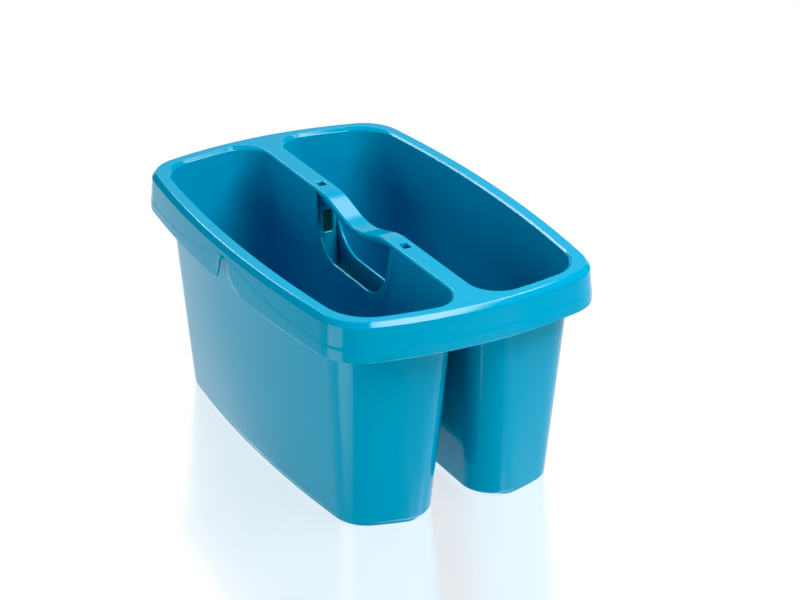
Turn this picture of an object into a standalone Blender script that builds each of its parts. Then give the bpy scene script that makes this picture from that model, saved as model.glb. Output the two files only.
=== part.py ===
"""Cleaning caddy: two tapered tubs side by side under one rim with a dipped carry handle.

X runs across the two tubs, Y runs along the handle, Z is up.
The origin is at floor level under the middle of the handle.
Lengths are in metres.
"""
import math

import bmesh
import bpy
from mathutils import Vector

MM = 0.001

# Overall sizes
RIM_TOP = 188.0 * MM
FIT_GAP = 0.3 * MM
WALL = 2.4 * MM

# Rim outline measured at the outer edge of the top face
RIM_HALF_X = 122.4 * MM
RIM_HALF_Y = 190.0 * MM
RIM_BOW_X = 16.2 * MM
RIM_BOW_Y = 23.0 * MM
RIM_CORNER = 33.0 * MM
RIM_PLATE = 3.0 * MM

# Tub outline where its wall meets the rim
TOP_HALF_X = 113.6 * MM
TOP_HALF_Y = 180.9 * MM
TOP_BOW_X = 13.6 * MM
TOP_BOW_Y = 18.5 * MM
TOP_OUTER_CORNER = 40.0 * MM
TOP_INNER_CORNER = 27.0 * MM
TOP_SLOT = 6.5 * MM

# Tub outline at the floor
BASE_HALF_X = 100.5 * MM
BASE_HALF_Y = 166.3 * MM
BASE_BOW_X = 12.7 * MM
BASE_BOW_Y = 24.2 * MM
BASE_OUTER_CORNER = 27.5 * MM
BASE_INNER_CORNER = 29.0 * MM
BASE_SLOT = 16.1 * MM
FOOT_HEIGHT = 1.8 * MM
FLOOR = 2.6 * MM

# Hand opening through both inner walls
HAND_HALF_TOP = 62.6 * MM
HAND_HALF_LOW = 59.4 * MM
HAND_SIDE_END = 164.0 * MM
HAND_FLAT = 27.0 * MM
HAND_BOTTOM = 134.8 * MM

# Ribs between the tubs at both ends of the hand opening, each with a window
RIB_FACE = 59.7 * MM
RIB_WALL = 2.2 * MM
RIB_BOTTOM = 118.0 * MM
RIB_TOP = 184.4 * MM
WINDOW_HALF = 4.3 * MM
WINDOW_LOW = 149.0 * MM
WINDOW_HIGH = 169.0 * MM

# Handle bar
HANDLE_HALF_LENGTH = 66.4 * MM
HANDLE_HALF_WIDTH = 8.9 * MM
HANDLE_DIP = 10.5 * MM
HANDLE_DIP_HALF = 58.0 * MM
HANDLE_DEPTH = 4.4 * MM
GRIP_HALF_LENGTH = 50.4 * MM
GRIP_PITCH = 2.4 * MM
GRIP_TOOTH = 1.1 * MM

# Slots at the two ends of the handle
END_SLOT_CENTRE = 71.2 * MM
END_SLOT_HALF_X = 3.2 * MM
END_SLOT_HALF_Y = 4.4 * MM

SIDE_POINTS = 12
END_POINTS = 8
CORNER_POINTS = 6


def clear_scene():
    for item in list(bpy.data.objects):
        bpy.data.objects.remove(item, do_unlink=True)


def make_collection(name):
    group = bpy.data.collections.new(name)
    bpy.context.scene.collection.children.link(group)
    return group


def plastic(name, colour, roughness):
    material = bpy.data.materials.new(name)
    material.use_nodes = True
    shader = material.node_tree.nodes["Principled BSDF"]
    shader.inputs["Base Color"].default_value = (*colour, 1.0)
    shader.inputs["Roughness"].default_value = roughness
    shader.inputs["IOR"].default_value = 1.49
    return material


def finish(mesh, name, group, material):
    bmesh.ops.recalc_face_normals(mesh, faces=mesh.faces[:])
    data = bpy.data.meshes.new(name)
    mesh.to_mesh(data)
    mesh.free()
    item = bpy.data.objects.new(name, data)
    group.objects.link(item)
    if material is not None:
        data.materials.append(material)
    return item


def cutter_from(mesh, name, group):
    item = finish(mesh, name, group, None)
    item.hide_render = True
    item.display_type = "WIRE"
    return item


def cut(item, cutter):
    modifier = item.modifiers.new("cut_" + cutter.name, "BOOLEAN")
    modifier.operation = "DIFFERENCE"
    modifier.solver = "EXACT"
    modifier.object = cutter


def curve_points(start, start_tangent, end, end_tangent, count):
    """Points of a smooth quarter turn between two edges, end points left out."""
    points = []
    reach = (end - start).length
    a = start + start_tangent.normalized() * reach * 0.38
    b = end - end_tangent.normalized() * reach * 0.38
    for step in range(1, count):
        t = step / count
        s = 1.0 - t
        points.append(s * s * s * start + 3 * s * s * t * a + 3 * s * t * t * b + t * t * t * end)
    return points


def edge_samples(function, start, end, count):
    """Points along one bowed edge and the travel direction at both ends."""
    points = [function(start + (end - start) * i / count) for i in range(count + 1)]
    step = (end - start) * 0.001
    first = function(start + step) - function(start)
    last = function(end) - function(end - step)
    return points, first, last


def ring_of(edges):
    """One closed outline from bowed edges joined by smooth corners."""
    ring = []
    for index, (points, first, last) in enumerate(edges):
        ring.extend(points)
        next_points, next_first, _ = edges[(index + 1) % len(edges)]
        ring.extend(curve_points(points[-1], last, next_points[0], next_first, CORNER_POINTS))
    return ring


def trim(radius, slope):
    """Distance from a corner at which its rounding begins."""
    return radius * math.tan((math.pi / 2 - slope) / 2)


def rim_outline(offset):
    """Rounded rectangle with bowed sides and ends, counter-clockwise."""
    hx = RIM_HALF_X + offset
    hy = RIM_HALF_Y + offset
    slope = math.atan(2 * RIM_BOW_X / hy) + math.atan(2 * RIM_BOW_Y / hx)
    back = trim(RIM_CORNER + offset, slope)
    ex = hx - RIM_BOW_X - back
    ey = hy - RIM_BOW_Y - back

    def side(y, sign):
        return Vector((sign * (hx - RIM_BOW_X * (y / hy) ** 2), y))

    def end(x, sign):
        return Vector((x, sign * (hy - RIM_BOW_Y * (x / hx) ** 2)))

    edges = [
        edge_samples(lambda y: side(y, 1), -ey, ey, SIDE_POINTS),
        edge_samples(lambda x: end(x, 1), ex, -ex, END_POINTS * 2),
        edge_samples(lambda y: side(y, -1), ey, -ey, SIDE_POINTS),
        edge_samples(lambda x: end(x, -1), -ex, ex, END_POINTS * 2),
    ]
    return ring_of(edges)


def mix(low, high, z):
    return low + (high - low) * z / RIM_TOP


def tub_outline(z, offset, slot_offset=None):
    """Outline of the left tub at height z, grown outwards by offset."""
    inner_offset = offset if slot_offset is None else slot_offset
    hx = mix(BASE_HALF_X, TOP_HALF_X, z) + offset
    hy = mix(BASE_HALF_Y, TOP_HALF_Y, z) + offset
    bow_x = mix(BASE_BOW_X, TOP_BOW_X, z)
    bow_y = mix(BASE_BOW_Y, TOP_BOW_Y, z)
    slot = mix(BASE_SLOT, TOP_SLOT, z) - inner_offset
    r_out = mix(BASE_OUTER_CORNER, TOP_OUTER_CORNER, z) + offset
    r_in = mix(BASE_INNER_CORNER, TOP_INNER_CORNER, z) + inner_offset
    slope_out = math.atan(2 * bow_x / hy) + math.atan(2 * bow_y / hx)
    slope_in = -math.atan(2 * bow_y * slot / (hx * hx))
    back_out = trim(r_out, slope_out)
    back_in = trim(r_in, slope_in)
    ey_out = hy - bow_y - back_out
    ey_in = hy - bow_y * (slot / hx) ** 2 - back_in
    ex_out = hx - bow_x - back_out
    ex_in = slot + back_in

    def end(x, sign):
        return Vector((x, sign * (hy - bow_y * (x / hx) ** 2)))

    def side(y):
        return Vector((-(hx - bow_x * (y / hy) ** 2), y))

    edges = [
        edge_samples(lambda y: Vector((-slot, y)), -ey_in, ey_in, 1),
        edge_samples(lambda x: end(x, 1), -ex_in, -ex_out, END_POINTS),
        edge_samples(side, ey_out, -ey_out, SIDE_POINTS),
        edge_samples(lambda x: end(x, -1), -ex_out, -ex_in, END_POINTS),
    ]
    return ring_of(edges)


def loft(rings):
    """Closed body through a stack of outlines that share one point count."""
    mesh = bmesh.new()
    rows = [[mesh.verts.new((x, y, z)) for x, y, z in ring] for ring in rings]
    count = len(rows[0])
    for low, high in zip(rows, rows[1:]):
        for i in range(count):
            j = (i + 1) % count
            mesh.faces.new((low[i], low[j], high[j], high[i]))
    mesh.faces.new(rows[0][::-1])
    mesh.faces.new(rows[-1])
    return mesh


def at(outline, z):
    return [(p.x, p.y, z) for p in outline]


def mirror_x(mesh):
    for vert in mesh.verts:
        vert.co.x = -vert.co.x
    bmesh.ops.reverse_faces(mesh, faces=mesh.faces[:])


def box(low, high):
    mesh = bmesh.new()
    bmesh.ops.create_cube(mesh, size=1.0)
    for vert in mesh.verts:
        for axis in range(3):
            middle = (low[axis] + high[axis]) / 2
            vert.co[axis] = middle + vert.co[axis] * (high[axis] - low[axis])
    return mesh


def tub_mesh():
    top = RIM_TOP - RIM_PLATE - FIT_GAP
    base = FOOT_HEIGHT + FIT_GAP
    rings = [at(tub_outline(base, -0.4 * MM, -1.6 * MM), base)]
    rings.append(at(tub_outline(base, 0.0, -0.5 * MM), base + 0.6 * MM))
    rings.append(at(tub_outline(base, 0.0), base + 1.8 * MM))
    rings.append(at(tub_outline(top, 0.0), top))
    rings.append(at(tub_outline(top, -WALL), top))
    floor = base + FLOOR
    rings.append(at(tub_outline(floor + 7.0 * MM, -WALL), floor + 7.0 * MM))
    rings.append(at(tub_outline(floor, -WALL - 0.7 * MM), floor + 3.5 * MM))
    rings.append(at(tub_outline(floor, -WALL - 2.6 * MM), floor + 1.0 * MM))
    rings.append(at(tub_outline(floor, -WALL - 6.0 * MM), floor))
    return loft(rings)


def hand_draft():
    """How much each side of the hand opening leans out per unit of height."""
    return (HAND_HALF_TOP - HAND_HALF_LOW) / (RIM_TOP - HAND_SIDE_END)


def hand_path(top_z):
    """The U-shaped edge of the hand opening in the YZ plane, from -Y to +Y."""
    side = Vector((HAND_HALF_LOW, HAND_SIDE_END))
    top = Vector((HAND_HALF_LOW + hand_draft() * (top_z - HAND_SIDE_END), top_z))
    flat = Vector((HAND_FLAT, HAND_BOTTOM))
    turn = [flat] + curve_points(flat, Vector((1, 0)), side, top - side, 9) + [side]
    right = turn + [side.lerp(top, 0.5), top]
    left = [Vector((-p.x, p.y)) for p in reversed(right)]
    return left + right


def hand_cutter():
    """Prism that opens the inner wall of the left tub below the handle."""
    path = hand_path(RIM_TOP + 8 * MM)
    rings = []
    for x in (-30.0 * MM, -2.0 * MM):
        rings.append([(x, p.x, p.y) for p in path])
    return loft(rings)


def make_tubs(group, cutters, material):
    for name, flip in (("left_tub", False), ("right_tub", True)):
        mesh = tub_mesh()
        opening = hand_cutter()
        if flip:
            mirror_x(mesh)
            mirror_x(opening)
        tub = finish(mesh, name, group, material)
        cut(tub, cutter_from(opening, "cutter_" + name + "_hand", cutters))


def make_foot_pads(group, material):
    for name, flip in (("left_foot_pad", False), ("right_foot_pad", True)):
        rings = [at(tub_outline(0.0, -0.9 * MM, -17.0 * MM), 0.0)]
        rings.append(at(tub_outline(0.0, -0.2 * MM, -16.2 * MM), 0.7 * MM))
        rings.append(at(tub_outline(0.0, -0.2 * MM, -16.2 * MM), FOOT_HEIGHT))
        mesh = loft(rings)
        if flip:
            mirror_x(mesh)
        finish(mesh, name, group, material)


def rim_shell():
    """Dome of the rim: flared skirt with a crease, bevelled shoulder and flat top."""
    profile = [
        (3.9, 157.0), (4.4, 157.6), (4.2, 164.2), (3.8, 165.2), (2.8, 182.8),
        (2.3, 184.2), (0.1, 187.3), (-1.0, 188.0),
    ]
    return loft([at(rim_outline(o * MM), z * MM) for o, z in profile])


def rim_hollow():
    """Room under the rim plate between the skirt and the tub walls."""
    profile = [(2.3, 150.0), (2.2, 160.0), (0.8, 181.5), (-0.1, 183.8), (-1.9, 185.0)]
    return loft([at(rim_outline(o * MM), z * MM) for o, z in profile])


def tub_mouth():
    """Opening in the rim plate over the left tub, with a rounded lip."""
    steps = [(0.0, 170.0), (0.0, 185.2), (0.25, 186.2), (0.9, 187.2), (1.8, 187.8), (3.0, 188.0), (5.0, 190.0)]
    rings = []
    for grow, z in steps:
        rings.append(at(tub_outline(RIM_TOP, -WALL + grow * MM), z * MM))
    return loft(rings)


def side_notch():
    """Shark-fin notch through the left skirt at mid length."""
    outline = [
        (6.6, 150.0), (6.6, 158.0), (4.4, 160.4), (2.4, 164.0), (0.6, 169.0), (-0.4, 173.6), (-1.2, 176.6),
        (-3.0, 177.8), (-8.6, 177.6), (-10.6, 175.8), (-11.8, 172.6), (-13.6, 168.0), (-16.6, 163.8),
        (-20.5, 160.6), (-25.0, 158.4), (-34.0, 153.0),
    ]
    rings = []
    for x in (-150.0, -117.5):
        rings.append([(x * MM, y * MM, z * MM) for y, z in outline])
    return loft(rings)


def end_slot(sign):
    centre = sign * END_SLOT_CENTRE
    low = (-END_SLOT_HALF_X, centre - END_SLOT_HALF_Y, RIM_TOP - 12 * MM)
    high = (END_SLOT_HALF_X, centre + END_SLOT_HALF_Y, RIM_TOP + 12 * MM)
    return box(low, high)


def make_rim(group, cutters, material):
    rim = finish(rim_shell(), "rim_frame", group, material)
    cut(rim, cutter_from(rim_hollow(), "cutter_rim_hollow", cutters))
    for name, flip in (("left", False), ("right", True)):
        mouth = tub_mouth()
        notch = side_notch()
        if flip:
            mirror_x(mouth)
            mirror_x(notch)
        cut(rim, cutter_from(mouth, "cutter_mouth_" + name, cutters))
        cut(rim, cutter_from(notch, "cutter_notch_" + name, cutters))
    reach = HANDLE_HALF_LENGTH + FIT_GAP
    gap = box((-20 * MM, -reach, 160 * MM), (20 * MM, reach, 210 * MM))
    cut(rim, cutter_from(gap, "cutter_handle_gap", cutters))
    for name, sign in (("back", 1), ("front", -1)):
        cut(rim, cutter_from(end_slot(sign), "cutter_slot_" + name, cutters))


def handle_top(y):
    """Height of the handle's top face, dipping smoothly at mid length."""
    t = min(abs(y) / HANDLE_DIP_HALF, 1.0)
    return RIM_TOP - HANDLE_DIP * math.cos(t * math.pi / 2) ** 2


def handle_depth(y):
    """Depth of the bar: a thin plate on the tub walls, deeper over the opening."""
    start = 61.4 * MM
    full = 50.0 * MM
    t = min(max((start - abs(y)) / (start - full), 0.0), 1.0)
    ease = t * t * (3 - 2 * t)
    return RIM_PLATE + (HANDLE_DEPTH - RIM_PLATE) * ease


def handle_section(y):
    """Closed cross-section: crowned top, rounded edges and a channel below."""
    top = handle_top(y)
    half = HANDLE_HALF_WIDTH
    wall = 2.0 * MM
    roof = top - RIM_PLATE
    low = top - handle_depth(y)
    right = [
        (0.0, top), (half - 3.0 * MM, top), (half - 1.8 * MM, top - 0.2 * MM),
        (half - 0.9 * MM, top - 0.8 * MM), (half - 0.25 * MM, top - 1.8 * MM),
        (half, top - 2.8 * MM), (half, low + 0.15 * MM), (half - 0.5 * MM, low),
        (half - wall, low), (half - wall - 0.2 * MM, roof),
    ]
    left = [(-x, z) for x, z in reversed(right[1:])]
    return [(x, y, z) for x, z in right + left]


def make_handle(group, material):
    half = HANDLE_HALF_LENGTH
    stations = [-half, -61.5 * MM]
    stations += [(-59.0 + 118.0 * i / 30) * MM for i in range(31)]
    stations += [61.5 * MM, half]
    finish(loft([handle_section(y) for y in stations]), "carry_handle", group, material)


def grip_section(y, tooth):
    """Cross-section of the ribbed strip in the channel under the bar."""
    roof = handle_top(y) - RIM_PLATE - FIT_GAP
    low = handle_top(y) - handle_depth(y) - (GRIP_TOOTH if tooth else 0.0)
    inner = HANDLE_HALF_WIDTH - 2.0 * MM - FIT_GAP - 0.2 * MM
    points = [(-inner, roof), (-inner, low), (inner, low), (inner, roof)]
    return [(x, y, z) for x, z in points]


def make_grip(group, material):
    rings = []
    count = int(round(2 * GRIP_HALF_LENGTH / GRIP_PITCH))
    for i in range(count):
        start = -GRIP_HALF_LENGTH + i * GRIP_PITCH
        rings.append(grip_section(start, False))
        rings.append(grip_section(start + 0.5 * GRIP_PITCH, True))
    rings.append(grip_section(GRIP_HALF_LENGTH, False))
    finish(loft(rings), "handle_grip_strip", group, material)


def end_rib(sign):
    """Upright plate between the two inner walls, leaning with the side of the hand opening."""
    rings = []
    for z in (RIB_BOTTOM, HAND_SIDE_END, RIB_TOP):
        half = mix(BASE_SLOT, TOP_SLOT, z) - FIT_GAP
        face = RIB_FACE + hand_draft() * max(z - HAND_SIDE_END, 0.0)
        near, far = sorted((sign * face, sign * (face + RIB_WALL)))
        rings.append([(-half, near, z), (half, near, z), (half, far, z), (-half, far, z)])
    return loft(rings)


def make_ribs(group, cutters, material):
    for name, sign in (("back", 1), ("front", -1)):
        rib = finish(end_rib(sign), name + "_end_rib", group, material)
        ends = sorted((sign * 40 * MM, sign * 80 * MM))
        window = box((-WINDOW_HALF, ends[0], WINDOW_LOW), (WINDOW_HALF, ends[1], WINDOW_HIGH))
        cut(rib, cutter_from(window, "cutter_window_" + name, cutters))


def main():
    clear_scene()
    group = make_collection("cleaning_caddy")
    cutters = make_collection("cutters")
    turquoise = (0.004, 0.342, 0.578)
    make_tubs(group, cutters, plastic("tub_plastic", turquoise, 0.22))
    make_foot_pads(group, plastic("foot_plastic", (0.004, 0.30, 0.52), 0.35))
    make_rim(group, cutters, plastic("rim_plastic", (0.004, 0.372, 0.612), 0.16))
    make_handle(group, plastic("handle_plastic", (0.004, 0.365, 0.604), 0.18))
    make_grip(group, plastic("grip_plastic", (0.004, 0.33, 0.56), 0.35))
    make_ribs(group, cutters, plastic("rib_plastic", (0.004, 0.335, 0.57), 0.22))


main()
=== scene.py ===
"""Looks of the cleaning caddy: smooth moulded shells, plastics, studio floor, lights and camera.

X runs across the two tubs, Y runs along the handle, Z is up, lengths are in metres.
The whole object is one rigid moulding, so every piece rides on the body "root".
"""

import math

import bmesh
import bpy
from mathutils import Matrix, Vector


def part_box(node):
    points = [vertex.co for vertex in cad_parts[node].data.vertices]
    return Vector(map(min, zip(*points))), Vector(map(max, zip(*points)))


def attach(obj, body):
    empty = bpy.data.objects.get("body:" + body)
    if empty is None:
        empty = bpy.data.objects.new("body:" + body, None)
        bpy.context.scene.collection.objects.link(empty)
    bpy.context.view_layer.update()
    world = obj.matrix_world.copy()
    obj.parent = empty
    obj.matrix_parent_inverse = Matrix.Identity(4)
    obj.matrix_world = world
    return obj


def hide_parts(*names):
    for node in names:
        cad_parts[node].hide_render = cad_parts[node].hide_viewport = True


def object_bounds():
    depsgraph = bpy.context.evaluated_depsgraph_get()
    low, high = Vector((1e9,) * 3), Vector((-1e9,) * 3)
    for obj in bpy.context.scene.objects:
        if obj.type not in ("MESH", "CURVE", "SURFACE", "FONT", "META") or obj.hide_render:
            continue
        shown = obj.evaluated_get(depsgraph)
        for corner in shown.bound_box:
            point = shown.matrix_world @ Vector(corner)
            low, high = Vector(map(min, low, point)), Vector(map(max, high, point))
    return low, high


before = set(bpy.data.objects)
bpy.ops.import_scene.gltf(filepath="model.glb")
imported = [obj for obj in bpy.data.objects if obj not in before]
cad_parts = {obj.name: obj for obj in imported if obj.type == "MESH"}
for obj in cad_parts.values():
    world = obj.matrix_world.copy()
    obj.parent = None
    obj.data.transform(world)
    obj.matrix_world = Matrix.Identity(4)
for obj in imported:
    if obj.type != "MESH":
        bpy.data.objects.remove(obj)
cad_low, cad_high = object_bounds()

MM = 0.001
QUARTER = math.pi / 2

# Step by which an outline is grown to find the way its points move outwards
GROWTH = 6.0 * MM

# Share of an edge over which the travel direction at its ends is taken
TRAVEL_SHARE = 0.001

# Rim, measured at the outer edge of its top face
RIM_TOP = cad_high.z
SKIRT_REACH = 4.4 * MM
RIM_HALF_X = cad_high.x - SKIRT_REACH
RIM_HALF_Y = cad_high.y - SKIRT_REACH
RIM_BOW_X = 16.2 * MM
RIM_BOW_Y = 23.0 * MM
RIM_CORNER = 33.0 * MM
SKIRT_LEAN_FOOT = 165.0 * MM
SKIRT_LEAN = 1.35 * MM
SKIRT_SLOPE_FOOT = 170.0 * MM
SKIRT_BAND_LEAST = 1.0 * MM
SKIRT_WALL = 1.5 * MM
SKIRT_INSIDE_TOP = 182.0 * MM
CREASE_STEP = 0.3 * MM
CREASE_SPAN = 3.0 * MM
CREASE_ABOVE_EDGE = 2.0 * MM
CREASE_ABOVE_ROUND = 0.4 * MM
BEVEL_FOOT = (2.6 * MM, 184.0 * MM)
BEVEL_TOP = (-0.5 * MM, RIM_TOP)
BEVEL_FOOT_TRIM = 0.9 * MM
BEVEL_TOP_TRIM = 0.8 * MM
BEVEL_TURN_REACH = 0.4

# Tub outlines at the rim and at the floor
WALL = 2.4 * MM
TUB_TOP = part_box("left_tub")[1].z
TUB_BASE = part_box("left_tub")[0].z
TOP_HALF_X = 113.6 * MM
TOP_HALF_Y = 180.9 * MM
TOP_BOW_X = 13.6 * MM
TOP_BOW_Y = 18.5 * MM
TOP_OUTER_CORNER = 40.0 * MM
TOP_INNER_CORNER = 27.0 * MM
TOP_SLOT = 6.5 * MM
BASE_HALF_X = 100.5 * MM
BASE_HALF_Y = 166.3 * MM
BASE_BOW_X = 12.7 * MM
BASE_BOW_Y = 24.2 * MM
BASE_OUTER_CORNER = 27.5 * MM
BASE_INNER_CORNER = 29.0 * MM
BASE_SLOT = 16.1 * MM
FLOOR_THICKNESS = 2.6 * MM
FLOOR_FILLET = 7.0 * MM
BASE_ROUND = 1.8 * MM
BASE_ROUND_INSET = 0.35
BASE_ROUND_SLOT = 1.8
LIP = 2.65 * MM
LIP_SIDE_SHARE = 0.5
LIP_FOOT_TRIM = 0.35 * MM
LIP_TOP_TRIM = 0.55 * MM
LIP_WIDEN_GAIN = 1.2
LIP_WIDEN_START = 0.2

# Rows of the skirt: offset and height of those that join it to the flat underside of the rim,
# then the places of the others as shares of its inside face and of its upper outer face
UNDERSIDE_ROWS = ((-3.4 * MM, TUB_TOP), (-2.4 * MM, TUB_TOP - 0.5 * MM), (-1.2 * MM, 182.4 * MM))
INSIDE_SHARES = (0.9, 0.7, 0.5, 0.3, 0.12)
UPPER_SHARES = (0.15, 0.3, 0.45, 0.6, 0.75, 0.9)

# Hand opening and the land around it
HAND_HALF_TOP = 62.6 * MM
HAND_HALF_LOW = 59.4 * MM
HAND_SIDE_END = 164.0 * MM
HAND_FLAT = 27.0 * MM
HAND_BOTTOM = 134.8 * MM
HAND_DRAFT = (HAND_HALF_TOP - HAND_HALF_LOW) / (RIM_TOP - HAND_SIDE_END)
HAND_CUT_GROW = 1.6 * MM
HAND_CUT_TOP = RIM_TOP + 8.0 * MM
HAND_CUT_REACH = (-30.0 * MM, -2.0 * MM)
LAND_DEEP = 13.2 * MM
LAND_SIDE = 8.0 * MM
LAND_NARROWS_OVER = 12.0 * MM
LAND_MIDDLE = 0.6
LAND_PROUD = 0.45 * MM
LAND_SKIN = 0.05 * MM
LAND_EDGE = 0.4 * MM
LAND_FADE = 0.8
LAND_FADE_FOOT = 162.0 * MM
LAND_FADE_OVER = 20.0 * MM

# Hidden root of the rolled lip inside the wall
ROOT_REACH = 3.2 * MM
ROOT_START = 2.8 * MM
ROOT_SINK = 0.6 * MM
ROOT_MIDDLE = 0.9 * MM

# Ribs between the tubs at both ends of the hand opening, each with a window
RIB_FACE = 59.7 * MM
RIB_WALL = 2.2 * MM
RIB_CORNER = 0.5 * MM
RIB_CLEARANCE = 0.1 * MM
WINDOW_HALF = 4.3 * MM
WINDOW_LOW = 149.0 * MM
WINDOW_HIGH = 169.0 * MM
WINDOW_CORNER = 1.6 * MM

# Rings of the window cutter: growth and distance along Y, in millimetres
WINDOW_RINGS = ((2.0, 55.0), (0.5, 59.9), (0.12, 60.2), (0.0, 60.6), (0.0, 61.2), (0.12, 61.7), (2.0, 66.0))

# Low pads under the tubs
FOOT_ROUND = 0.8 * MM
FOOT_INSET = 0.2 * MM
FOOT_GAP_INSET = 16.0 * MM
FOOT_OVERLAP = 0.1 * MM

# Handle
HANDLE_END = 66.55 * MM
HANDLE_DIP = 10.5 * MM
HANDLE_DIP_HALF = 58.0 * MM
HANDLE_DEPTH = 4.2 * MM
HANDLE_DEEP_END = 61.8 * MM
HANDLE_DEEP_RUN = 11.0 * MM
HANDLE_UNDER = 0.8 * MM
HANDLE_FLAT = (2.0 * MM, 4.0 * MM)
HANDLE_SECTIONS = 110

# Space cleared in the rim for the handle
HANDLE_CUT_HALF_X = 20.0 * MM
HANDLE_CUT_LOW = 160.0 * MM
HANDLE_CUT_HIGH = 210.0 * MM

# Grip ribs under the handle, with the rise and fall of one rib along its pitch
GRIP_HALF_LENGTH = 50.4 * MM
GRIP_PITCH = 2.4 * MM
GRIP_TOOTH = 1.2 * MM
GRIP_SHAPE = (0.0, 0.42, 0.72, 0.9, 1.0, 1.0, 0.9, 0.72, 0.42)
GRIP_ROOF = 1.3 * MM
GRIP_ROOF_INSET = 1.6 * MM
GRIP_ROOF_DROP = 0.1 * MM
GRIP_SHOULDER = 0.5 * MM
GRIP_SET_BACK = 0.25 * MM
GRIP_FLARE = 0.55 * MM
GRIP_CORNER = 0.45 * MM

# Slots at the two ends of the handle
END_SLOT_CENTRE = 71.2 * MM
END_SLOT_HALF_X = 3.2 * MM
END_SLOT_HALF_Y = 4.4 * MM
END_SLOT_CORNER = 0.9 * MM

# Rings of the slot cutter: growth and height, in millimetres, with a softened upper edge
END_SLOT_RINGS = ((0.0, 176.0), (0.0, 187.3), (0.12, 187.65), (0.4, 187.9), (0.8, 188.05), (1.2, 190.0))

# Mesh density
END_POINTS = 34
CORNER_POINTS = 22
SIDE_REACH = 126.0 * MM
SIDE_STEP = 4.5 * MM
SIDE_MIDDLE = 70.0 * MM
SIDE_CLOSE = (-36.0 * MM, 20.0 * MM)
SIDE_CLOSE_STEP = 0.8 * MM
SIDE_FINE = (-15.0 * MM, 8.0 * MM)
SIDE_FINE_STEP = 0.3 * MM
TUB_SLOT_POINTS = 24
TUB_SIDE_POINTS = 64
HAND_TURN_POINTS = 18

# Notch in the skirt at mid length: height of the free edge and of the crease along Y, in millimetres
NOTCH_EDGE = [
    (-60.0, 157.0), (-30.0, 157.2), (-25.0, 158.4), (-20.5, 160.6), (-16.6, 163.8), (-13.6, 168.0),
    (-11.8, 172.6), (-10.6, 175.8), (-8.6, 177.6), (-3.0, 177.8), (-1.2, 176.6), (-0.4, 173.6),
    (0.6, 169.0), (2.4, 164.0), (4.4, 160.4), (6.6, 158.0), (9.0, 157.1), (12.0, 157.0), (60.0, 157.0),
]
NOTCH_CREASE = [
    (-150.0, 167.0), (-105.0, 168.0), (-70.0, 171.5), (-42.0, 176.0), (-20.0, 179.6), (-6.0, 180.2),
    (6.0, 179.0), (22.0, 174.6), (45.0, 169.6), (75.0, 166.4), (110.0, 164.8), (140.0, 164.4),
]

# Inward curl of the skirt beside the scooped side of the notch, and places along that side
SCOOP_CURL = 1.2 * MM
SCOOP_REACH = 5.0 * MM
SCOOP_LENGTH = 48.0 * MM
SCOOP_FADE = 20.0 * MM
SCOOP_FADE_UP = 8.0 * MM
SCOOP_PLACES = [step * 0.4 * MM for step in range(-80, -20)]

# Shading: angle in degrees above which an edge stays sharp, and how strongly large faces stay flat
SHARP_ANGLE = 32.0
FLAT_WEIGHT = 60

# Plastic: colour of the moulding, size and depth of its clouds, and size and depth of its uneven polish
TURQUOISE = (0.0, 0.292, 0.498)
PLASTIC_IOR = 1.5
CLOUD_SCALE = 9.0
CLOUD_DETAIL = 4.0
CLOUD_GREEN = 0.035
CLOUD_BLUE = 0.025
POLISH_SCALE = 42.0
POLISH_DETAIL = 5.0
POLISH_NOISE = (0.3, 0.7)
POLISH_SHARE = (0.85, 1.2)
SKIN_DETAIL = 2.0

# Studio floor
FLOOR_SIZE = 6.0
FLOOR_DROP = 0.2 * MM
FLOOR_GREY = 0.12
FLOOR_ROUGHNESS = 0.18
FLOOR_IOR = 5.0
FLOOR_GLOW = 0.71

# Bright backdrop: its direction, soft edge, and strength of the surroundings and of the backdrop
BACKDROP_WAY = (0.436, 0.79, 0.43)
BACKDROP_EDGE = (0.72, 0.90)
BACKDROP_STRENGTH = (0.02, 0.56)

# Softboxes: name, direction, distance, width, height and radiance
LIGHTS_AIM = (0.0, 0.0, 0.12)
LIGHTS = (
    ("key_softbox", (0.356, -0.516, 0.780), 1.4, 1.15, 0.62, 10.0),
    ("upper_softbox", (0.24, -0.31, 0.92), 1.45, 0.60, 0.24, 10.0),
    ("overhead_softbox", (0.43, 0.02, 0.90), 1.4, 0.30, 0.62, 4.0),
    ("back_softbox", (0.42, 0.46, 0.77), 1.4, 0.50, 0.28, 3.6),
    ("strip_light", (-0.08, 0.79, 0.60), 1.5, 0.70, 0.36, 8.0),
    ("left_softbox", (-0.99, -0.10, 0.30), 1.6, 1.0, 0.8, 3.6),
    ("front_softbox", (0.35, -0.95, 0.30), 1.6, 1.0, 0.6, 0.7),
)

# Camera: angles in degrees, lens and sensor in millimetres, distance and aim in metres
CAMERA_AZIMUTH = -28.868
CAMERA_ELEVATION = 25.473
CAMERA_DISTANCE = 2.0093
CAMERA_AIM = (0.0345, 0.0, 0.1036)
CAMERA_LENS = 110.44
CAMERA_SENSOR = 36.0
CAMERA_NEAR = 0.05

# Depth taken from the shades of each colour
BLACK_LEVEL = (0.044, 0.018, 0.036)


# ---------------------------------------------------------------- outlines

def mix(low, high, z):
    return low + (high - low) * z / RIM_TOP


def spread(start, end, count):
    return [start + (end - start) * i / count for i in range(count + 1)]


def ease(t):
    t = min(max(t, 0.0), 1.0)
    return t * t * (3 - 2 * t)


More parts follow.
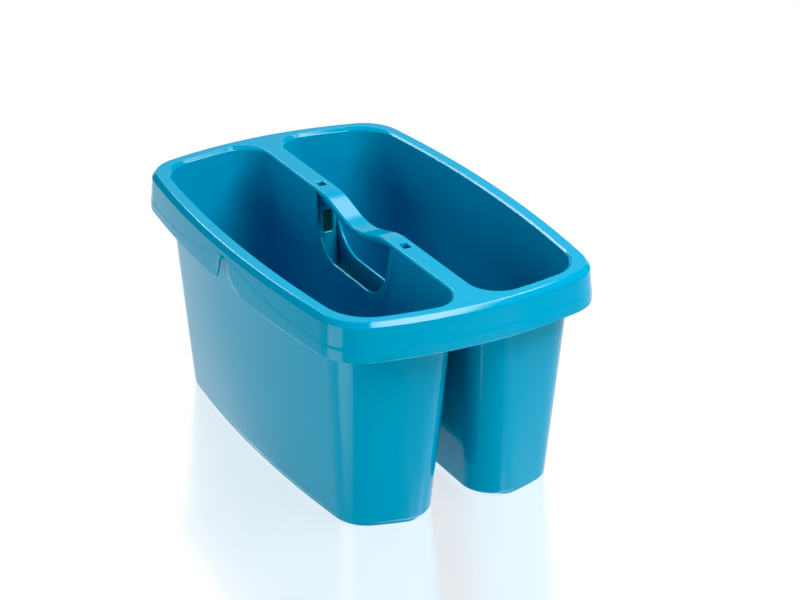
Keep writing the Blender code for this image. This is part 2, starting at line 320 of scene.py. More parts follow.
def through(points, y):
    """Smooth height at y through (y, height) pairs in millimetres, level beyond both ends."""
    y = y / MM
    if y <= points[0][0]:
        return points[0][1] * MM
    if y >= points[-1][0]:
        return points[-1][1] * MM
    slopes = [(b[1] - a[1]) / (b[0] - a[0]) for a, b in zip(points, points[1:])]
    for i, (a, b) in enumerate(zip(points, points[1:])):
        if y > b[0]:
            continue
        before = slopes[max(i - 1, 0)]
        after = slopes[min(i + 1, len(slopes) - 1)]
        span = b[0] - a[0]
        start = harmonic(before, slopes[i]) * span
        end = harmonic(slopes[i], after) * span
        t = (y - a[0]) / span
        h00 = (1 + 2 * t) * (1 - t) ** 2
        h01 = t * t * (3 - 2 * t)
        height = h00 * a[1] + t * (1 - t) ** 2 * start + h01 * b[1] + t * t * (t - 1) * end
        return height * MM
    return points[-1][1] * MM


def harmonic(a, b):
    """Slope at a joint that never overshoots the points on either side."""
    if a * b <= 0:
        return 0.0
    return 2 * a * b / (a + b)


def corner_points(start, start_way, end, end_way, count, reach=0.38):
    """Points of a smooth turn between two edges, end points left out."""
    length = (end - start).length * reach
    a = start + start_way.normalized() * length
    b = end - end_way.normalized() * length
    points = []
    for step in range(1, count):
        t = step / count
        s = 1.0 - t
        points.append(s * s * s * start + 3 * s * s * t * a + 3 * s * t * t * b + t * t * t * end)
    return points


def edge_through(function, places):
    """Points along one bowed edge and the travel direction at both ends."""
    step = (places[-1] - places[0]) * TRAVEL_SHARE
    first = function(places[0] + step) - function(places[0])
    last = function(places[-1]) - function(places[-1] - step)
    return [function(place) for place in places], first, last


def ring_of(edges):
    """One closed outline from bowed edges joined by smooth corners."""
    ring = []
    for index, (points, first, last) in enumerate(edges):
        ring.extend(points)
        next_points, next_first, _ = edges[(index + 1) % len(edges)]
        ring.extend(corner_points(points[-1], last, next_points[0], next_first, CORNER_POINTS))
    return ring


def trim(radius, slope):
    """Distance from a corner at which its rounding begins."""
    return radius * math.tan((QUARTER - slope) / 2)


def side_places():
    """Places along a long side, close together where the skirt changes shape."""
    places = []
    y = -SIDE_REACH
    while y < SIDE_REACH:
        places.append(y)
        if SIDE_FINE[0] < y < SIDE_FINE[1]:
            y += SIDE_FINE_STEP
        elif SIDE_CLOSE[0] < y < SIDE_CLOSE[1]:
            y += SIDE_CLOSE_STEP
        elif abs(y) < SIDE_MIDDLE:
            y += SIDE_STEP / 2
        else:
            y += SIDE_STEP
    return places


SIDE_PLACES = side_places()


def rim_outline(offset):
    """Rounded rectangle with bowed sides and ends, counter-clockwise."""
    hx = RIM_HALF_X + offset
    hy = RIM_HALF_Y + offset
    slope = math.atan(2 * RIM_BOW_X / hy) + math.atan(2 * RIM_BOW_Y / hx)
    back = trim(RIM_CORNER + offset, slope)
    ex = hx - RIM_BOW_X - back
    ey = hy - RIM_BOW_Y - back
    up = [-ey] + SIDE_PLACES + [ey]
    down = up[::-1]

    def side(y, sign):
        return Vector((sign * (hx - RIM_BOW_X * (y / hy) ** 2), y))

    def end(x, sign):
        return Vector((x, sign * (hy - RIM_BOW_Y * (x / hx) ** 2)))

    return ring_of([
        edge_through(lambda y: side(y, 1), up),
        edge_through(lambda x: end(x, 1), spread(ex, -ex, END_POINTS * 2)),
        edge_through(lambda y: side(y, -1), down),
        edge_through(lambda x: end(x, -1), spread(-ex, ex, END_POINTS * 2)),
    ])


def tub_outline(z, offset, slot_offset=None):
    """Outline of the left tub at height z, grown outwards by offset."""
    inner_offset = offset if slot_offset is None else slot_offset
    hx = mix(BASE_HALF_X, TOP_HALF_X, z) + offset
    hy = mix(BASE_HALF_Y, TOP_HALF_Y, z) + offset
    bow_x = mix(BASE_BOW_X, TOP_BOW_X, z)
    bow_y = mix(BASE_BOW_Y, TOP_BOW_Y, z)
    slot = mix(BASE_SLOT, TOP_SLOT, z) - inner_offset
    r_out = mix(BASE_OUTER_CORNER, TOP_OUTER_CORNER, z) + offset
    r_in = mix(BASE_INNER_CORNER, TOP_INNER_CORNER, z) + inner_offset
    slope_out = math.atan(2 * bow_x / hy) + math.atan(2 * bow_y / hx)
    slope_in = -math.atan(2 * bow_y * slot / (hx * hx))
    back_out = trim(r_out, slope_out)
    back_in = trim(r_in, slope_in)
    ey_out = hy - bow_y - back_out
    ey_in = hy - bow_y * (slot / hx) ** 2 - back_in
    ex_out = hx - bow_x - back_out
    ex_in = slot + back_in

    def end(x, sign):
        return Vector((x, sign * (hy - bow_y * (x / hx) ** 2)))

    def side(y):
        return Vector((-(hx - bow_x * (y / hy) ** 2), y))

    return ring_of([
        edge_through(lambda y: Vector((-slot, y)), spread(-ey_in, ey_in, TUB_SLOT_POINTS)),
        edge_through(lambda x: end(x, 1), spread(-ex_in, -ex_out, END_POINTS)),
        edge_through(side, spread(ey_out, -ey_out, TUB_SIDE_POINTS)),
        edge_through(lambda x: end(x, -1), spread(-ex_out, -ex_in, END_POINTS)),
    ])


def slot_face(z):
    """Distance from the middle plane to the inside face of a tub's inner wall."""
    return mix(BASE_SLOT, TOP_SLOT, z) + WALL


def at(outline, z):
    return [(p.x, p.y, z) for p in outline]


# ---------------------------------------------------------------- mesh helpers

def add_row(mesh, points):
    return [mesh.verts.new(p) for p in points]


def strip(mesh, low, high):
    """Quads between two closed rows of vertices."""
    count = len(low)
    for i in range(count):
        j = (i + 1) % count
        mesh.faces.new((low[i], low[j], high[j], high[i]))


def loop_edges(mesh, row):
    return [mesh.edges.get((row[i], row[(i + 1) % len(row)])) for i in range(len(row))]


def fill_between(mesh, rows):
    """Flat face with holes, bounded by closed rows that lie in one plane."""
    edges = [edge for row in rows for edge in loop_edges(mesh, row)]
    bmesh.ops.triangle_fill(mesh, use_beauty=True, use_dissolve=False, edges=edges)


def loft(rings):
    """Closed body through a stack of outlines that share one point count, with a flat face at each end."""
    mesh = bmesh.new()
    rows = [add_row(mesh, ring) for ring in rings]
    for low, high in zip(rows, rows[1:]):
        strip(mesh, low, high)
    mesh.faces.new(rows[0][::-1])
    mesh.faces.new(rows[-1])
    return mesh


def mirror_x(mesh):
    for vert in mesh.verts:
        vert.co.x = -vert.co.x
    bmesh.ops.reverse_faces(mesh, faces=mesh.faces[:])


def to_object(mesh, name):
    bmesh.ops.recalc_face_normals(mesh, faces=mesh.faces[:])
    data = bpy.data.meshes.new(name)
    mesh.to_mesh(data)
    mesh.free()
    item = bpy.data.objects.new(name, data)
    bpy.context.scene.collection.objects.link(item)
    return item


def cut_with(item, meshes, joined=()):
    """Subtracts closed meshes from a piece, joins others to it and keeps the result as its own mesh."""
    cutters = []
    for operation, group in (("DIFFERENCE", meshes), ("UNION", joined)):
        for mesh in group:
            cutter = to_object(mesh, "cutter")
            cutters.append(cutter)
            modifier = item.modifiers.new("cut", "BOOLEAN")
            modifier.operation = operation
            modifier.solver = "EXACT"
            modifier.object = cutter
    bpy.context.view_layer.update()
    evaluated = item.evaluated_get(bpy.context.evaluated_depsgraph_get())
    result = bpy.data.meshes.new_from_object(evaluated)
    item.modifiers.clear()
    item.data = result
    for cutter in cutters:
        bpy.data.objects.remove(cutter, do_unlink=True)


def smooth(item):
    """Soft shading across the moulding with true edges kept sharp and flat faces kept flat."""
    for polygon in item.data.polygons:
        polygon.use_smooth = True
    item.data.set_sharp_from_angle(angle=math.radians(SHARP_ANGLE))
    weighted = item.modifiers.new("flat_faces_stay_flat", "WEIGHTED_NORMAL")
    weighted.mode = "FACE_AREA"
    weighted.weight = FLAT_WEIGHT
    weighted.keep_sharp = True


def finish_piece(item, node, material):
    smooth(item)
    item.data.materials.clear()
    item.data.materials.append(material)
    for polygon in item.data.polygons:
        polygon.material_index = 0
    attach(item, "root")
    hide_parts(node)


# ---------------------------------------------------------------- plastics

def noise(tree, place, scale, detail):
    """Noise that stays fixed to the piece."""
    node = tree.nodes.new("ShaderNodeTexNoise")
    node.inputs["Scale"].default_value = scale
    node.inputs["Detail"].default_value = detail
    tree.links.new(place.outputs["Object"], node.inputs["Vector"])
    return node


def moulded_plastic(name, colour, roughness, grain, grain_size):
    """Glossy coloured polypropylene: cloudy pigment, uneven polish and a faint orange-peel skin."""
    material = bpy.data.materials.new(name)
    material.use_nodes = True
    tree = material.node_tree
    shader = tree.nodes["Principled BSDF"]
    shader.inputs["IOR"].default_value = PLASTIC_IOR
    shader.inputs["Specular IOR Level"].default_value = 0.5
    place = tree.nodes.new("ShaderNodeTexCoord")

    cloud = noise(tree, place, CLOUD_SCALE, CLOUD_DETAIL)
    tint = tree.nodes.new("ShaderNodeMix")
    tint.data_type = "RGBA"
    red, green, blue = colour
    tint.inputs["A"].default_value = (red, green * (1 - CLOUD_GREEN), blue * (1 - CLOUD_BLUE), 1.0)
    tint.inputs["B"].default_value = (red, green * (1 + CLOUD_GREEN), blue * (1 + CLOUD_BLUE), 1.0)
    tree.links.new(cloud.outputs["Fac"], tint.inputs["Factor"])
    tree.links.new(tint.outputs["Result"], shader.inputs["Base Color"])

    polish = noise(tree, place, POLISH_SCALE, POLISH_DETAIL)
    spread_rough = tree.nodes.new("ShaderNodeMapRange")
    spread_rough.inputs["From Min"].default_value = POLISH_NOISE[0]
    spread_rough.inputs["From Max"].default_value = POLISH_NOISE[1]
    spread_rough.inputs["To Min"].default_value = roughness * POLISH_SHARE[0]
    spread_rough.inputs["To Max"].default_value = roughness * POLISH_SHARE[1]
    tree.links.new(polish.outputs["Fac"], spread_rough.inputs["Value"])
    tree.links.new(spread_rough.outputs["Result"], shader.inputs["Roughness"])

    skin = noise(tree, place, grain_size, SKIN_DETAIL)
    bump = tree.nodes.new("ShaderNodeBump")
    bump.inputs["Strength"].default_value = 1.0
    bump.inputs["Distance"].default_value = grain
    tree.links.new(skin.outputs["Fac"], bump.inputs["Height"])
    tree.links.new(bump.outputs["Normal"], shader.inputs["Normal"])
    return material


# ---------------------------------------------------------------- rim

def lip_profile():
    """Inset and drop over the bevelled lip of a mouth, from the inside wall up to the flat top."""
    foot = Vector((0.0, LIP))
    top = Vector((LIP, 0.0))
    along = (top - foot).normalized()
    start = foot + Vector((0.0, LIP_FOOT_TRIM))
    low = foot + along * LIP_FOOT_TRIM
    high = top - along * LIP_TOP_TRIM
    end = top + Vector((LIP_TOP_TRIM, 0.0))
    points = [start] + corner_points(start, foot - start, low, along, 5) + [low, low.lerp(high, 0.5), high]
    points += corner_points(high, along, end, Vector((1.0, 0.0)), 7) + [end]
    return [(p.x, p.y) for p in points]


def lip_rows(sign):
    """Rows of points over one mouth's lip, wide at the two ends of the mouth and narrow along its sides."""
    low = tub_outline(TUB_TOP, -WALL)
    high = tub_outline(RIM_TOP, -WALL)
    grown = tub_outline(RIM_TOP, -WALL + GROWTH)
    away = [(b - a) / GROWTH for a, b in zip(high, grown)]
    depth = RIM_TOP - TUB_TOP
    rows = [[(p.x * sign, p.y, TUB_TOP) for p in low]]
    for inset, drop in lip_profile():
        row = []
        for a, b, way in zip(low, high, away):
            wide = ease(abs(way.y) / way.length * LIP_WIDEN_GAIN - LIP_WIDEN_START)
            share = LIP_SIDE_SHARE + (1 - LIP_SIDE_SHARE) * wide
            p = b.lerp(a, drop * share / depth) + way * inset * share
            row.append((p.x * sign, p.y, RIM_TOP - drop * share))
        rows.append(row)
    return rows if sign > 0 else [row[::-1] for row in rows]


def bevel_profile():
    """Offsets and heights over the bevelled shoulder: foot rounding, flat bevel, tight top rounding."""
    foot = Vector(BEVEL_FOOT)
    top = Vector(BEVEL_TOP)
    along = (top - foot).normalized()
    lean = foot - Vector((skirt_lean(SKIRT_SLOPE_FOOT), SKIRT_SLOPE_FOOT))
    start = foot - lean.normalized() * BEVEL_FOOT_TRIM
    low = foot + along * BEVEL_FOOT_TRIM
    high = top - along * BEVEL_TOP_TRIM
    end = top + Vector((-BEVEL_TOP_TRIM, 0.0))
    points = [start] + corner_points(start, lean, low, along, 6, BEVEL_TURN_REACH)
    points += [low.lerp(high, t) for t in spread(0.0, 1.0, 3)]
    points += corner_points(high, along, end, Vector((-1, 0)), 8, BEVEL_TURN_REACH) + [end]
    return [(p.x, p.y) for p in points]


def skirt_lean(z):
    """Offset of the leaning upper part of the skirt at height z."""
    share = (z - SKIRT_LEAN_FOOT) / (BEVEL_FOOT[1] - SKIRT_LEAN_FOOT)
    return BEVEL_FOOT[0] + SKIRT_LEAN * (1 - share)


def skirt_face(z, low, fold):
    """Offset of the skirt's outer face at height z between its free edge and the bevel."""
    brim = skirt_lean(fold) + CREASE_STEP
    foot = max(SKIRT_REACH, brim)
    share = min(max((z - low) / max(fold - low, SKIRT_BAND_LEAST), 0.0), 1.0)
    band = foot + (brim - foot) * share
    blend = ease((z - fold) / CREASE_SPAN + 0.5)
    return band + (skirt_lean(z) - band) * blend


BEVEL_START = bevel_profile()[0][1]
SCOOP_LINE = [Vector((y, through(NOTCH_EDGE, y))) for y in SCOOP_PLACES]


def scoop_curl(y, z):
    """How far the front part of the skirt turns inwards beside the scooped side of the notch."""
    if y > 0 or y < -SCOOP_LENGTH:
        return 0.0
    spot = Vector((y, z))
    near = min((spot - p).length for p in SCOOP_LINE)
    share = max(0.0, 1.0 - near / SCOOP_REACH)
    fade = ease((y + SCOOP_LENGTH) / SCOOP_FADE) * ease((BEVEL_FOOT[1] - z) / SCOOP_FADE_UP)
    return SCOOP_CURL * share * share * fade


def skirt_rows():
    """Rows of the skirt from its hidden inside round the free edge up to the bevel."""
    rows = [("under", offset, height) for offset, height in UNDERSIDE_ROWS]
    rows += [("inside", share, 0.0) for share in INSIDE_SHARES]
    rows += [("edge", turn, 0.0) for turn in spread(0.0, math.pi, 8)]
    rows += [("band", share, 0.0) for share in spread(0.0, 1.0, 5)[1:]]
    rows += [("crease", share, 0.0) for share in spread(0.0, 1.0, 6)[1:]]
    rows += [("upper", share, 0.0) for share in UPPER_SHARES]
    return rows


def skirt_spot(kind, value, height, low, fold):
    """Offset and height of one skirt row where the free edge is at low and the crease at fold."""
    round_off = 0.5 * SKIRT_WALL
    crease_low = max(fold - 0.5 * CREASE_SPAN, low + round_off + CREASE_ABOVE_ROUND)
    crease_high = fold + 0.5 * CREASE_SPAN
    if kind == "under":
        return value, height
    if kind == "inside":
        z = low + round_off + (SKIRT_INSIDE_TOP - low - round_off) * value
        return skirt_face(z, low, fold) - SKIRT_WALL, z
    if kind == "edge":
        z = low + round_off - round_off * math.sin(value)
        return skirt_face(z, low, fold) - round_off * (1 + math.cos(value)), z
    if kind == "band":
        z = low + round_off + (crease_low - low - round_off) * value
    elif kind == "crease":
        z = crease_low + (crease_high - crease_low) * value
    else:
        z = crease_high + (BEVEL_START - crease_high) * value
    return skirt_face(z, low, fold), z


def make_rim(material):
    mesh = bmesh.new()
    line = rim_outline(0.0)
    grown = rim_outline(GROWTH)
    away = [(b - a) / GROWTH for a, b in zip(line, grown)]

    def spot(i, offset, z):
        p = line[i] + away[i] * offset
        return p.x - math.copysign(scoop_curl(p.y, z), p.x), p.y, z

    edge_z = [through(NOTCH_EDGE, p.y) for p in line]
    fold_z = [max(through(NOTCH_CREASE, p.y), z + CREASE_ABOVE_EDGE) for p, z in zip(line, edge_z)]
    rows = []
    for kind, value, height in skirt_rows():
        points = [spot(i, *skirt_spot(kind, value, height, edge_z[i], fold_z[i])) for i in range(len(line))]
        rows.append(add_row(mesh, points))
    for offset, z in bevel_profile():
        rows.append(add_row(mesh, [spot(i, offset, z) for i in range(len(line))]))
    for low, high in zip(rows, rows[1:]):
        strip(mesh, low, high)
    top_loops = [rows[-1]]
    under_loops = [rows[0]]
    for sign in (1, -1):
        lip = [add_row(mesh, row) for row in lip_rows(sign)]
        for low, high in zip(lip, lip[1:]):
            strip(mesh, low, high)
        under_loops.append(lip[0])
        top_loops.append(lip[-1])
    fill_between(mesh, top_loops)
    fill_between(mesh, under_loops)
    rim = to_object(mesh, "rim")
    low = (-HANDLE_CUT_HALF_X, -HANDLE_END, HANDLE_CUT_LOW)
    high = (HANDLE_CUT_HALF_X, HANDLE_END, HANDLE_CUT_HIGH)
    cutters = [box_mesh(low, high), slot_cutter(END_SLOT_CENTRE), slot_cutter(-END_SLOT_CENTRE)]
    cut_with(rim, cutters)
    finish_piece(rim, "rim_frame", material)


def box_mesh(low, high):
    mesh = bmesh.new()
    bmesh.ops.create_cube(mesh, size=1.0)
    for vert in mesh.verts:
        for axis in range(3):
            middle = (low[axis] + high[axis]) / 2
            vert.co[axis] = middle + vert.co[axis] * (high[axis] - low[axis])
    return mesh


def rounded_rectangle(half_x, half_y, corner, steps=6):
    """Points of a rectangle with round corners about the origin, counter-clockwise."""
    points = []
    for cx, cy, start in ((1, 1, 0), (-1, 1, 1), (-1, -1, 2), (1, -1, 3)):
        for turn in spread(start * QUARTER, (start + 1) * QUARTER, steps):
            x = cx * (half_x - corner) + corner * math.cos(turn)
            y = cy * (half_y - corner) + corner * math.sin(turn)
            points.append((x, y))
    return points


def slot_cutter(centre):
    """Slot through the bridge with a softened upper edge."""
    rings = []
    for grow, z in END_SLOT_RINGS:
        grow = grow * MM
        outline = rounded_rectangle(END_SLOT_HALF_X + grow, END_SLOT_HALF_Y + grow, END_SLOT_CORNER + grow)
        rings.append([(x, centre + y, z * MM) for x, y in outline])
    return loft(rings)


# ---------------------------------------------------------------- tubs

def tub_mesh():
    rings = []
    base = TUB_BASE
    for turn in spread(0.0, QUARTER, 5):
        inset = -BASE_ROUND * (1 - math.sin(turn)) * BASE_ROUND_INSET
        z = base + BASE_ROUND * (1 - math.cos(turn))
        rings.append(at(tub_outline(z, inset, inset * BASE_ROUND_SLOT), z))
    for z in spread(base + BASE_ROUND, TUB_TOP, 10)[1:]:
        rings.append(at(tub_outline(z, 0.0), z))
    floor = base + FLOOR_THICKNESS
    for z in spread(TUB_TOP, floor + FLOOR_FILLET, 10):
        rings.append(at(tub_outline(z, -WALL), z))
    for turn in spread(0.0, QUARTER, 8)[1:]:
        z = floor + FLOOR_FILLET * (1 - math.sin(turn))
        rings.append(at(tub_outline(z, -WALL - FLOOR_FILLET * (1 - math.cos(turn))), z))
    return loft(rings)


def hand_path(grow, top_z):
    """The U-shaped edge of the hand opening in the YZ plane, from -Y to +Y, grown outwards."""
    low = HAND_BOTTOM - grow
    half_low = HAND_HALF_LOW + grow
    side = Vector((half_low, HAND_SIDE_END))
    top = Vector((half_low + HAND_DRAFT * (top_z - HAND_SIDE_END), top_z))
    flat = Vector((HAND_FLAT, low))
    turn = [flat] + corner_points(flat, Vector((1, 0)), side, top - side, HAND_TURN_POINTS) + [side]
    middle = [Vector((y, low)) for y in spread(-HAND_FLAT, HAND_FLAT, 10)[1:-1]]
    up = [side.lerp(top, t) for t in spread(0.0, 1.0, 6)[1:]]
    right = turn + up
    left = [Vector((-p.x, p.y)) for p in reversed(right)]
    return left + middle + right


def hand_cutter(sign):
    """Prism that opens one inner wall; its edge stays hidden inside the rolled lip."""
    path = hand_path(HAND_CUT_GROW, HAND_CUT_TOP)
    mesh = loft([[(x, p.x, p.y) for p in path] for x in HAND_CUT_REACH])
    if sign < 0:
        mirror_x(mesh)
    return mesh


def path_normals(path):
    """Unit directions out of the opening, square to the path."""
    normals = []
    for i in range(len(path)):
        before = path[max(i - 1, 0)]
        after = path[min(i + 1, len(path) - 1)]
        way = (after - before).normalized()
        normals.append(Vector((way.y, -way.x)))
    return normals


def lip_section(point, normal):
    """Cross-section of the rolled lip and the land beside it, from the gap side to inside the tub."""
    deep = ease((point.y - HAND_BOTTOM) / LAND_NARROWS_OVER)
    land = LAND_DEEP + (LAND_SIDE - LAND_DEEP) * deep
    proud = LAND_PROUD * (1 - LAND_FADE * ease((point.y - LAND_FADE_FOOT) / LAND_FADE_OVER))
    radius = (WALL + proud + LAND_SKIN) / 2
    section = []

    def put(distance, out):
        spot = point + normal * distance
        spot.y = min(spot.y, TUB_TOP)
        section.append((-(mix(BASE_SLOT, TOP_SLOT, spot.y) + out), spot.x, spot.y))

    put(ROOT_REACH, ROOT_SINK)
    put(ROOT_START, -LAND_SKIN)
    for turn in spread(0.0, math.pi, 10):
        put(radius * (1 - math.sin(turn)), radius * (1 - math.cos(turn)) - LAND_SKIN)
    put(land * LAND_MIDDLE, WALL + proud)
    edge = min(LAND_EDGE, proud)
    for turn in spread(0.0, QUARTER, 4):
        put(land - edge * (1 - math.sin(turn)), WALL + proud - edge * (1 - math.cos(turn)))
    put(land, WALL - ROOT_SINK)
    put(ROOT_START, ROOT_MIDDLE)
    return section


def hand_lip(sign):
    """Rolled lip round the hand opening of the left tub, or of the right one for a negative sign."""
    path = hand_path(0.0, TUB_TOP)
    mesh = loft([lip_section(p, n) for p, n in zip(path, path_normals(path))])
    if sign < 0:
        mirror_x(mesh)
    return mesh


def make_tubs(material):
    for name, node, sign in (("tub_left", "left_tub", 1), ("tub_right", "right_tub", -1)):
        mesh = tub_mesh()
        if sign < 0:
            mirror_x(mesh)
        tub = to_object(mesh, name)
        cut_with(tub, [hand_cutter(sign)], [hand_lip(sign)])
        finish_piece(tub, node, material)


def make_feet(material):
    """Low pads under both tubs, with a rounded lower edge."""
    for name, node, sign in (("foot_left", "left_foot_pad", 1), ("foot_right", "right_foot_pad", -1)):
        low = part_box(node)[0].z
        rings = []
        for turn in spread(0.0, QUARTER, 5):
            inset = -FOOT_INSET - FOOT_ROUND * (1 - math.sin(turn))
            z = low + FOOT_ROUND * (1 - math.cos(turn))
            rings.append(at(tub_outline(0.0, inset, inset - FOOT_GAP_INSET), z))
        top = tub_outline(0.0, -FOOT_INSET, -FOOT_INSET - FOOT_GAP_INSET)
        rings.append(at(top, TUB_BASE + FOOT_OVERLAP))
        mesh = loft(rings)
        if sign < 0:
            mirror_x(mesh)
        foot = to_object(mesh, name)
        finish_piece(foot, node, material)


# ---------------------------------------------------------------- end ribs

def rib_outline(half, near, far):
    """Rounded rectangle across the gap between the tubs, from near to far along Y."""
    middle = (near + far) / 2
    shape = rounded_rectangle(half, (far - near) / 2, RIB_CORNER, 4)
    return [(x, middle + y) for x, y in shape]


def window_cutter(sign):
    """Window through one rib, softened where it meets the faces."""
    middle = (WINDOW_LOW + WINDOW_HIGH) / 2
    half = (WINDOW_HIGH - WINDOW_LOW) / 2
    rings = []
    for grow, y in WINDOW_RINGS:
        grow = grow * MM
        outline = rounded_rectangle(WINDOW_HALF + grow, half + grow, WINDOW_CORNER + grow)
        rings.append([(x, y * MM * sign, middle + z) for x, z in outline])
    return loft(rings)


def make_ribs(material):
    """Upright plates between the inner walls at both ends of the hand opening, each with a window."""
    for name, node, sign in (("rib_back", "back_end_rib", 1), ("rib_front", "front_end_rib", -1)):
        low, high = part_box(node)
        rings = []
        for z in spread(low.z, high.z, 16):
            half = mix(BASE_SLOT, TOP_SLOT, z) - RIB_CLEARANCE
            face = RIB_FACE + HAND_DRAFT * max(z - HAND_SIDE_END, 0.0)
            near, far = sorted((sign * face, sign * (face + RIB_WALL)))
            rings.append([(x, y, z) for x, y in rib_outline(half, near, far)])
        rib = to_object(loft(rings), name)
        cut_with(rib, [window_cutter(sign)])
        finish_piece(rib, node, material)


# ---------------------------------------------------------------- handle

def handle_top(y):
    """Height of the handle's top face, dipping smoothly at mid length."""
    t = min(abs(y) / HANDLE_DIP_HALF, 1.0)
    return RIM_TOP - HANDLE_DIP * math.cos(t * QUARTER) ** 2


def handle_depth(y):
    """Depth of the bar: a plate on the tub walls, deeper over the opening."""
    shallow = RIM_TOP - TUB_TOP
    return shallow + (HANDLE_DEPTH - shallow) * ease((HANDLE_DEEP_END - abs(y)) / HANDLE_DEEP_RUN)


def handle_section(y):
    """Closed cross-section: flat top, rolled edges that run on from the rim's lips, softened underside."""
    top = handle_top(y)
    low = top - handle_depth(y)
    under = min(HANDLE_UNDER, handle_depth(y) - (LIP + LIP_FOOT_TRIM) * LIP_SIDE_SHARE)
    right = [(0.0, top)] + [(x, top) for x in HANDLE_FLAT]
    for inset, drop in reversed(lip_profile()):
        drop = drop * LIP_SIDE_SHARE
        right.append((slot_face(RIM_TOP - drop) - inset * LIP_SIDE_SHARE, top - drop))
    side = right[-1][0]
    for turn in spread(0.0, QUARTER, 4):
        right.append((side - under * (1 - math.cos(turn)), low + under * (1 - math.sin(turn))))
    right.append((side * 0.5, low))
    left = [(-x, z) for x, z in reversed(right[1:])]
    return [(x, y, z) for x, z in right + left]


def make_handle(material):
    places = spread(-HANDLE_END, HANDLE_END, HANDLE_SECTIONS)
    handle = to_object(loft([handle_section(y) for y in places]), "handle")
    finish_piece(handle, "carry_handle", material)


def grip_section(y, share):
    """Cross-section of the ribbed underside; share is the rib's height at this place."""
    low = handle_top(y) - handle_depth(y)
    roof = low + GRIP_ROOF
    tip = low - GRIP_TOOTH * share
    half = slot_face(RIM_TOP - LIP) - GRIP_SET_BACK + GRIP_FLARE * share
    right = [
        (half - GRIP_ROOF_INSET, roof),
        (half - GRIP_SHOULDER, roof - GRIP_ROOF_DROP),
        (half, low + GRIP_SHOULDER),
    ]
    for turn in spread(0.0, QUARTER, 4):
        right.append((half - GRIP_CORNER * (1 - math.cos(turn)), tip + GRIP_CORNER * (1 - math.sin(turn))))
    right.append((half * 0.5, tip))
    left = [(-x, z) for x, z in reversed(right)]
    return [(x, y, z) for x, z in right + left]


def make_grip(material):
    """Finger ribs across the underside of the handle."""
    rings = []
    count = int(round(2 * GRIP_HALF_LENGTH / GRIP_PITCH))
    for i in range(count):
        start = -GRIP_HALF_LENGTH + i * GRIP_PITCH
        for k, share in enumerate(GRIP_SHAPE):
            rings.append(grip_section(start + GRIP_PITCH * k / len(GRIP_SHAPE), share))
    rings.append(grip_section(GRIP_HALF_LENGTH, 0.0))
    grip = to_object(loft(rings), "grip_ribs")
    finish_piece(grip, "handle_grip_strip", material)


# ---------------------------------------------------------------- studio

def studio_floor():
    """Wide white floor that glows softly and mirrors the caddy faintly, so that no hard shadow falls."""
    mesh = bmesh.new()
    bmesh.ops.create_grid(mesh, x_segments=1, y_segments=1, size=FLOOR_SIZE)
    floor = to_object(mesh, "studio_floor")
    floor.location.z = -FLOOR_DROP
    material = bpy.data.materials.new("studio_white")
    material.use_nodes = True
    shader = material.node_tree.nodes["Principled BSDF"]
    shader.inputs["Base Color"].default_value = (FLOOR_GREY, FLOOR_GREY, FLOOR_GREY, 1.0)
    shader.inputs["Roughness"].default_value = FLOOR_ROUGHNESS
    shader.inputs["IOR"].default_value = FLOOR_IOR
    shader.inputs["Emission Color"].default_value = (1.0, 1.0, 1.0, 1.0)
    shader.inputs["Emission Strength"].default_value = FLOOR_GLOW
    floor.data.materials.append(material)


def softbox(name, direction, distance, width, height, radiance):
    """Rectangular area light that faces the object from one direction."""
    light = bpy.data.lights.new(name, "AREA")
    light.shape = "RECTANGLE"
    light.size = width
    light.size_y = height
    light.energy = radiance * math.pi * width * height
    item = bpy.data.objects.new(name, light)
    bpy.context.scene.collection.objects.link(item)
    way = Vector(direction).normalized()
    item.location = Vector(LIGHTS_AIM) + way * distance
    item.rotation_mode = "QUATERNION"
    item.rotation_quaternion = way.to_track_quat("Z", "Y")


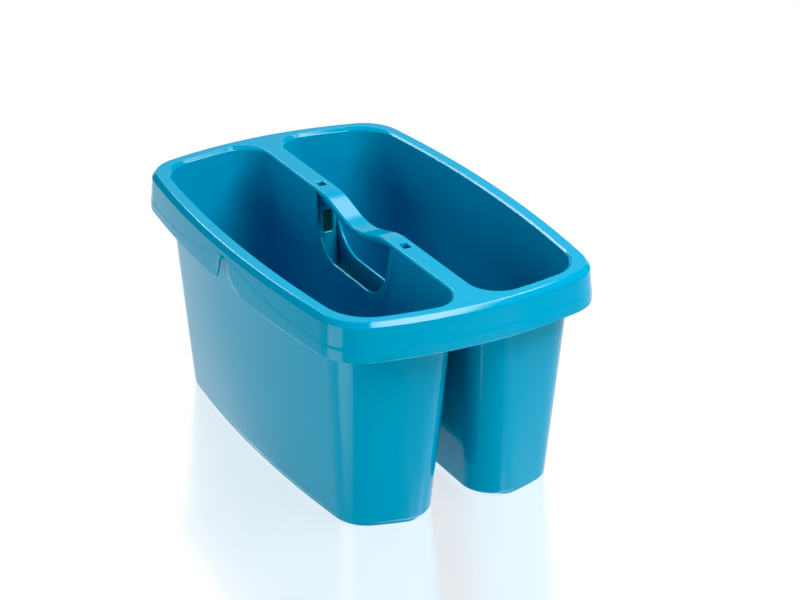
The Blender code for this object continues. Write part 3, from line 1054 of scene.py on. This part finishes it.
def studio_world():
    """Dim surroundings with one bright, soft-edged backdrop behind the caddy."""
    world = bpy.data.worlds.new("studio_world")
    bpy.context.scene.world = world
    world.use_nodes = True
    tree = world.node_tree
    background = tree.nodes["Background"]
    background.inputs["Color"].default_value = (1.0, 1.0, 1.0, 1.0)
    place = tree.nodes.new("ShaderNodeTexCoord")
    facing = tree.nodes.new("ShaderNodeVectorMath")
    facing.operation = "DOT_PRODUCT"
    facing.inputs[1].default_value = BACKDROP_WAY
    tree.links.new(place.outputs["Generated"], facing.inputs[0])
    zone = tree.nodes.new("ShaderNodeMapRange")
    zone.interpolation_type = "SMOOTHSTEP"
    zone.inputs["From Min"].default_value = BACKDROP_EDGE[0]
    zone.inputs["From Max"].default_value = BACKDROP_EDGE[1]
    zone.inputs["To Min"].default_value = BACKDROP_STRENGTH[0]
    zone.inputs["To Max"].default_value = BACKDROP_STRENGTH[1]
    tree.links.new(facing.outputs["Value"], zone.inputs["Value"])
    tree.links.new(zone.outputs["Result"], background.inputs["Strength"])


def camera():
    """Long lens from the front left, looking down on the caddy."""
    azimuth = math.radians(CAMERA_AZIMUTH)
    elevation = math.radians(CAMERA_ELEVATION)
    back = Vector((
        math.sin(azimuth) * math.cos(elevation),
        -math.cos(azimuth) * math.cos(elevation),
        math.sin(elevation),
    ))
    right = Vector((math.cos(azimuth), math.sin(azimuth), 0.0))
    up = back.cross(right)
    data = bpy.data.cameras.new("camera")
    data.sensor_width = CAMERA_SENSOR
    data.lens = CAMERA_LENS
    data.clip_start = CAMERA_NEAR
    item = bpy.data.objects.new("camera", data)
    bpy.context.scene.collection.objects.link(item)
    item.location = Vector(CAMERA_AIM) + back * CAMERA_DISTANCE
    item.rotation_mode = "QUATERNION"
    item.rotation_quaternion = Matrix((right, up, back)).transposed().to_quaternion()
    bpy.context.scene.camera = item


def deep_colour():
    """Plain colour with slightly deeper shades, which keeps the turquoise pure."""
    view = bpy.context.scene.view_settings
    view.view_transform = "Standard"
    view.use_curve_mapping = True
    view.curve_mapping.black_level = BLACK_LEVEL
    view.curve_mapping.update()


# ---------------------------------------------------------------- build

camera()
gloss = moulded_plastic("turquoise_gloss", TURQUOISE, roughness=0.14, grain=0.000006, grain_size=700.0)
satin = moulded_plastic("turquoise_satin", TURQUOISE, roughness=0.34, grain=0.00006, grain_size=1600.0)
make_rim(gloss)
make_tubs(gloss)
make_feet(satin)
make_ribs(gloss)
make_handle(gloss)
make_grip(satin)
studio_floor()
studio_world()
for light in LIGHTS:
    softbox(*light)
deep_colour()
